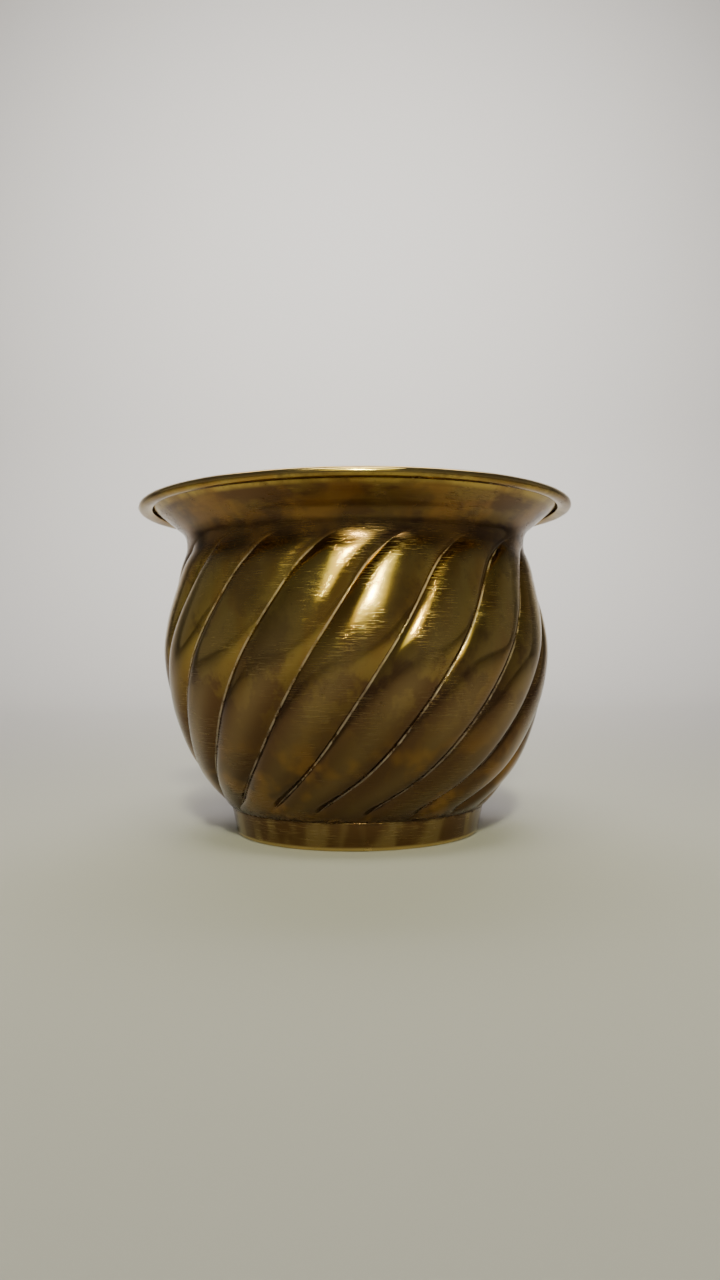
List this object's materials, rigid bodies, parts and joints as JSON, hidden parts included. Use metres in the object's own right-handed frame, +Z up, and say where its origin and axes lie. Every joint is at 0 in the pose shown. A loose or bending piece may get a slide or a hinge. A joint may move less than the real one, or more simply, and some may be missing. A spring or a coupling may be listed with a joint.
{
  "type": "fluted brass pot",
  "caption": "Round brass pot with swirled convex flutes, a drawn-in neck, a wide flared rim rolled under at its edge, and a plain foot ring; stands open on a desk to hold pens or a plant.",
  "frame": {"origin": "centre of the flat face that the foot ring stands on", "axes": "+Z up along the pot's axis; -Y is the side seen in the picture"},
  "size_m": [0.1498, 0.1498, 0.1129],
  "materials": {
    "bowl_brass": "polished, lightly scratched and tarnished",
    "foot_brass": "polished, dulled, brighter at the lower edge",
    "solder": "dull grey, uneven"
  },
  "bodies": {
    "root": {"fluted_bowl": "bowl_brass", "foot_ring": "foot_brass", "solder_fillet": "solder"}
  },
  "joints": []
}
